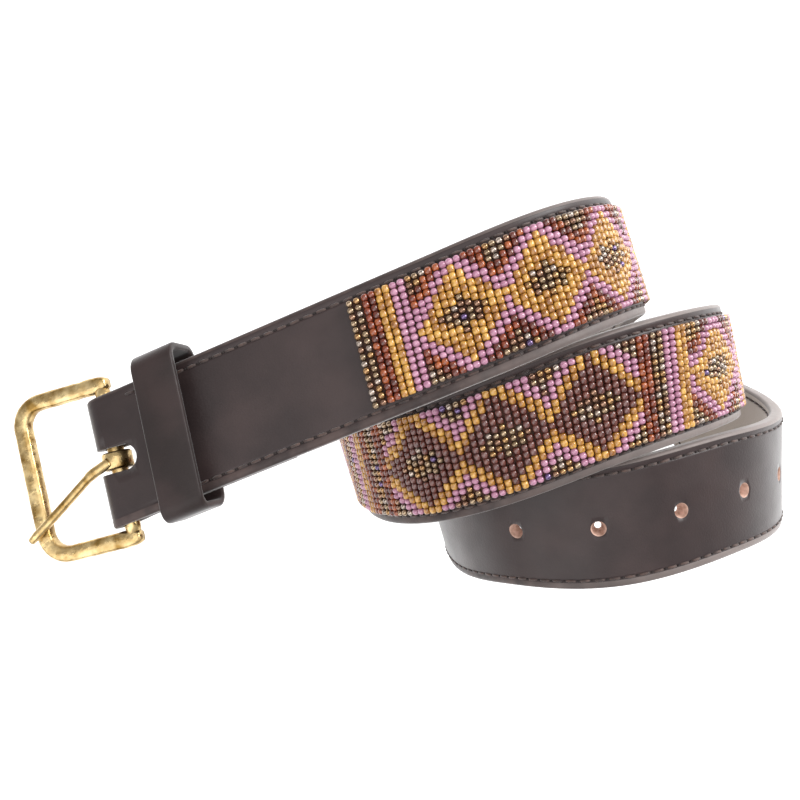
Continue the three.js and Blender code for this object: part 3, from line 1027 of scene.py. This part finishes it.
def make_keeper():
    """A leather loop round the strap: its rounded outline swept with an eased band section."""
    low = -HALF - FOLD_THICK - SEAT_GAP - KEEPER_THICK / 2
    high = HALF + STRAP_THICK + 1.7 + KEEPER_THICK / 2
    side = STRAP_WIDTH / 2 + 2.6 + KEEPER_THICK / 2
    r = 3.3
    corners = [
        (side - r, low + r, -90),
        (side - r, high - r, 0),
        (r - side, high - r, 90),
        (r - side, low + r, 180),
    ]
    ring = []
    for cv, ch, start in corners:
        for a in np.linspace(start, start + 90, 9):
            c, s = math.cos(math.radians(a)), math.sin(math.radians(a))
            ring.append((cv + r * c, ch + r * s, c, s))
    dense = []
    for a, b in zip(ring, ring[1:] + ring[:1]):
        gap = math.hypot(b[0] - a[0], b[1] - a[1])
        steps = max(1, int(gap / 2))
        for k in range(steps):
            f = k / steps
            dense.append(tuple(x + (y - x) * f for x, y in zip(a, b)))
    half, thick = KEEPER_BAND / 2, KEEPER_THICK / 2
    e = 0.75
    rounds = [
        (half - e, thick - e, 0),
        (e - half, thick - e, 90),
        (e - half, e - thick, 180),
        (half - e, e - thick, 270),
    ]
    section = []
    for cs, ck, start in rounds:
        for a in (0, 30, 60, 90):
            ang = math.radians(start + a)
            section.append((cs + e * math.cos(ang), ck + e * math.sin(ang)))
    pts_s, pts_v, pts_h = [], [], []
    for v, h, nv, nh in dense:
        for a, k in section:
            pts_v.append(v + nv * k)
            pts_h.append(h + nh * k)
            pts_s.append(KEEPER_START + half + a + KEEPER_SKEW * (v + nv * k))
    pts = place(pts_s, pts_v, pts_h)
    piece = new_piece("keeper_loop", pts, tube_faces(len(dense), len(section), True), [keeper_face()])
    recalculated(piece)
    dress(piece, "belt", "keeper")


# Floor, light and camera.


def make_stage():
    mesh = bpy.data.meshes.new("floor")
    w = 3.0
    mesh.from_pydata([(-w, -w, 0), (w, -w, 0), (w, w, 0), (-w, w, 0)], [], [(0, 1, 2, 3)])
    floor = bpy.data.objects.new("floor", mesh)
    floor.location.z = -0.0003
    pale = surface("floor_pale", (243, 243, 243), (247, 247, 247), 2, 0.9)
    pale.node_tree.nodes["Principled BSDF"].inputs["Emission Color"].default_value = (1, 1, 1, 1)
    pale.node_tree.nodes["Principled BSDF"].inputs["Emission Strength"].default_value = 0.45
    mesh.materials.append(pale)
    bpy.context.scene.collection.objects.link(floor)
    world = bpy.data.worlds.new("sky")
    bpy.context.scene.world = world
    world.use_nodes = True
    world.node_tree.nodes["Background"].inputs["Color"].default_value = (1, 1, 1, 1)
    world.node_tree.nodes["Background"].inputs["Strength"].default_value = 0.6
    for name, place_at, aim, size, watts in (
        ("key", (0.95, 0.35, 0.6), (0, 0, 0.05), 0.6, 13),
        ("fill", (-0.7, -0.3, 0.7), (0, 0, 0.05), 0.9, 4),
        ("top", (0.0, 0.1, 1.3), (0, 0, 0), 1.2, 7),
    ):
        light = bpy.data.objects.new(name, bpy.data.lights.new(name, "AREA"))
        light.data.size = size
        light.data.energy = watts
        light.location = place_at
        light.rotation_euler = (Vector(aim) - Vector(place_at)).to_track_quat("-Z", "Y").to_euler()
        bpy.context.scene.collection.objects.link(light)


def make_camera():
    data = bpy.data.cameras.new("camera")
    data.sensor_fit = "HORIZONTAL"
    data.angle = 2 * math.atan(400 / 832.5)
    data.clip_start = 0.01
    camera = bpy.data.objects.new("camera", data)
    ahead = Vector((0.0089, -0.1062, -0.9943)).normalized()
    up = Vector((0.2827, 0.9541, -0.0993))
    right = ahead.cross(up).normalized()
    up = right.cross(ahead)
    turn = Matrix((right, up, -ahead)).transposed().to_4x4()
    camera.matrix_world = Matrix.Translation(Vector((-8.7, 45.9, 351.7)) * MM) @ turn
    bpy.context.scene.collection.objects.link(camera)
    bpy.context.scene.camera = camera
    bpy.context.scene.view_settings.view_transform = "Standard"


make_strap()
make_stitches()
make_backing()
make_beads()
make_buckle()
make_prong()
make_keeper()
make_stage()
make_camera()
